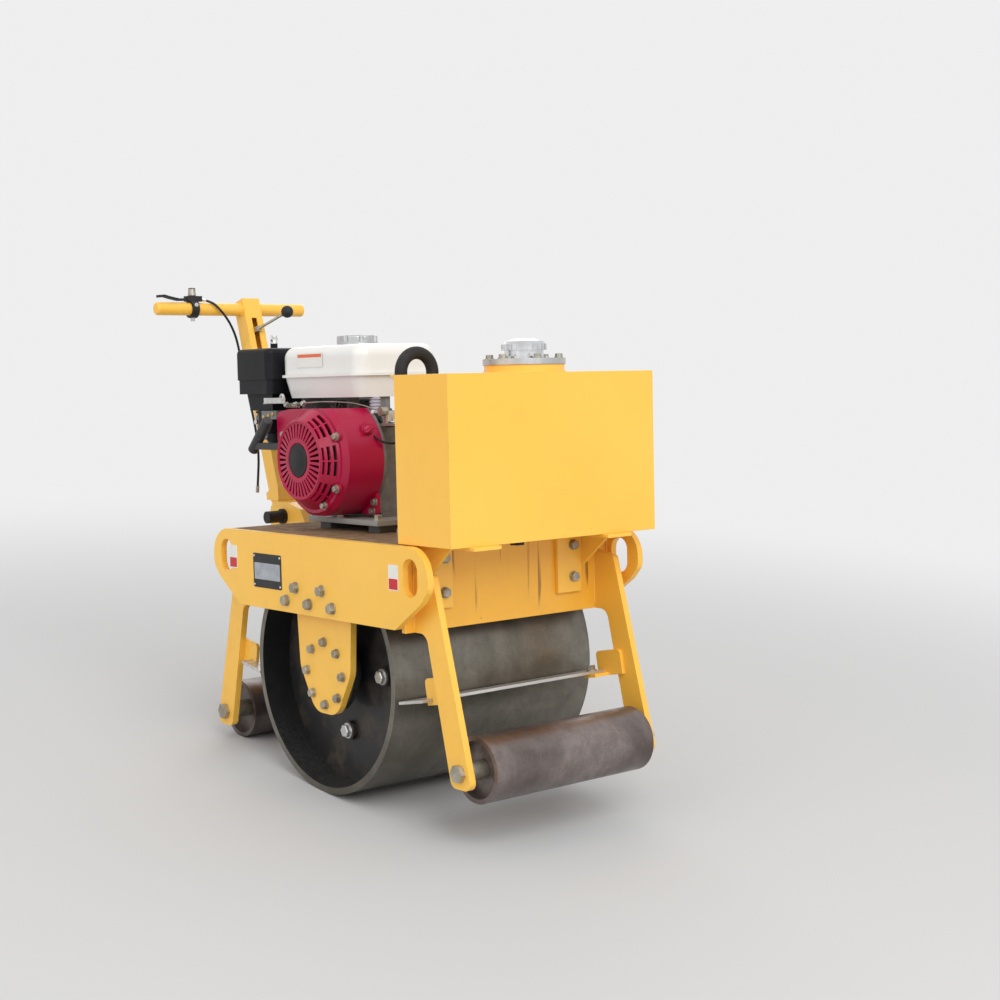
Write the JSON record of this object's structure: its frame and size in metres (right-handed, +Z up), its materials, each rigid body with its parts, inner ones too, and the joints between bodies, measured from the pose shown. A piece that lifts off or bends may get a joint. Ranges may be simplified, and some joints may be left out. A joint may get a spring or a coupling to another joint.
{
  "type": "walk-behind single-drum roller",
  "caption": "Walk-behind single-drum roller with petrol engine, front tank, small guide rollers front and rear, side plates with tie-down slots and a folding handle.",
  "frame": {"origin": "on the ground, at the middle of the overall length and width, with the machine parked leaning back on its rear guide roller", "axes": "+Y towards the handle, -Y towards the front tank, +X towards the engine's pump side, +Z up"},
  "size_m": [0.473, 1.0992, 0.8502],
  "materials": {
    "yellow_paint": "warm yellow gloss paint",
    "black_paint": "black paint",
    "drum_steel": "worn dark rolled steel",
    "roller_steel": "rusty rolled steel",
    "worn_steel": "steel worn bright",
    "zinc_steel": "zinc plated",
    "dusty_deck": "paint under brown dust",
    "silver_plate": "satin metal",
    "chrome_cap": "bright plated",
    "dark_steel": "dark grey paint",
    "engine_aluminium": "cast",
    "red_paint": "crimson gloss paint",
    "white_paint": "off-white gloss paint",
    "black_plastic": "black plastic",
    "black_rubber": "rubber"
  },
  "bodies": {
    "frame": {"side_plate_left": "yellow_paint", "side_plate_right": "yellow_paint", "tongue_left": "yellow_paint", "tongue_right": "yellow_paint", "tongue_spacer_left": "yellow_paint", "tongue_spacer_right": "yellow_paint", "bearing_housing_left": "black_paint", "bearing_housing_right": "black_paint", "leg_front_left": "yellow_paint", "leg_front_right": "yellow_paint", "leg_rear_left": "yellow_paint", "leg_rear_right": "yellow_paint", "cross_plate_front": "yellow_paint", "cross_plate_rear": "yellow_paint", "axle_front": "zinc_steel", "axle_rear": "zinc_steel", "scraper_front": "worn_steel", "scraper_rear": "worn_steel", "scraper_brackets_front": "yellow_paint", "scraper_brackets_rear": "yellow_paint", "deck_plate": "dusty_deck", "front_tank": "yellow_paint", "tank_flange": "silver_plate", "breather_cap": "chrome_cap", "tank_straps": "yellow_paint", "engine_rails": "dark_steel", "engine_block": "engine_aluminium", "fan_cover": "red_paint", "recoil_starter": "red_paint", "starter_grip": "black_plastic", "fuel_tank": "white_paint", "fuel_cap": "silver_plate", "air_cleaner": "black_plastic", "carburettor": "engine_aluminium", "muffler": "dark_steel", "pump": "engine_aluminium", "hinge_bracket": "yellow_paint", "hinge_pin": "black_plastic", "drain_plug": "black_plastic", "tank_hose": "black_rubber", "hose_fittings": "zinc_steel", "engine_plate": "dark_steel", "fuel_outlet": "black_rubber", "throttle_control": "zinc_steel"},
    "drum": {"drum_shell": "drum_steel", "drum_disc_left": "black_paint", "drum_disc_right": "black_paint", "drum_shaft": "zinc_steel"},
    "front_roller": {"roller_front": "roller_steel"},
    "rear_roller": {"roller_rear": "roller_steel"},
    "handle": {"handle_column": "yellow_paint", "handlebar": "yellow_paint", "grip_lever": "black_plastic", "travel_lever": "zinc_steel", "throttle_cable": "black_rubber", "lever_knob": "black_plastic", "cable_end": "zinc_steel"}
  },
  "joints": [
    {"name": "drum_spin", "type": "hinge", "parent": "frame", "child": "drum", "pos_m": [0, -0.11955, 0.2125], "axis": [1, 0, 0], "continuous": true},
    {"name": "front_roller_spin", "type": "hinge", "parent": "frame", "child": "front_roller", "pos_m": [0, -0.49478, 0.13359], "axis": [1, 0, 0], "continuous": true},
    {"name": "rear_roller_spin", "type": "hinge", "parent": "frame", "child": "rear_roller", "pos_m": [0, 0.22995, 0.0548], "axis": [1, 0, 0], "continuous": true},
    {"name": "handle_fold", "type": "hinge", "parent": "frame", "child": "handle", "pos_m": [0, 0.30939, 0.4108], "axis": [1, 0, 0], "range_deg": [0, 20]}
  ]
}
